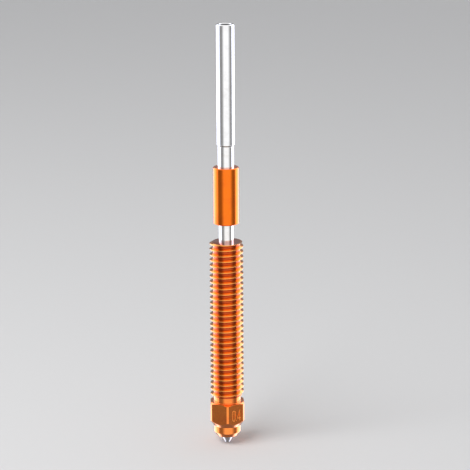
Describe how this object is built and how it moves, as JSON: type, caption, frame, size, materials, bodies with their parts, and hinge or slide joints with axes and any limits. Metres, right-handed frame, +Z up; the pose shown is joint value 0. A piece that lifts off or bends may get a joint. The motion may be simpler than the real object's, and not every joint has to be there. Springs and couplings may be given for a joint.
{
  "type": "hotend nozzle assembly",
  "caption": "Quick-change hotend nozzle with a copper threaded body, steel tip, heat-break tube, copper cooling sleeve and steel feed tube.",
  "frame": {"origin": "centre of the flat end of the steel tip, where the orifice opens", "axes": "+Z up the filament path towards the feed tube's mouth, -Y through a corner of the hexagon"},
  "size_m": [0.006, 0.0068, 0.0763],
  "materials": {
    "copper": "polished",
    "polished_steel": "polished",
    "titanium": "polished",
    "hardened_steel": "satin",
    "braze": "satin"
  },
  "bodies": {
    "root": {"feed_tube": "polished_steel", "feed_tube_seam": "braze", "heat_break_tube": "titanium", "cooling_sleeve": "copper", "sleeve_braze_ring": "braze", "nozzle_body": "copper", "body_braze_ring": "braze", "tip_braze_ring": "braze", "nozzle_tip": "hardened_steel"}
  },
  "joints": []
}
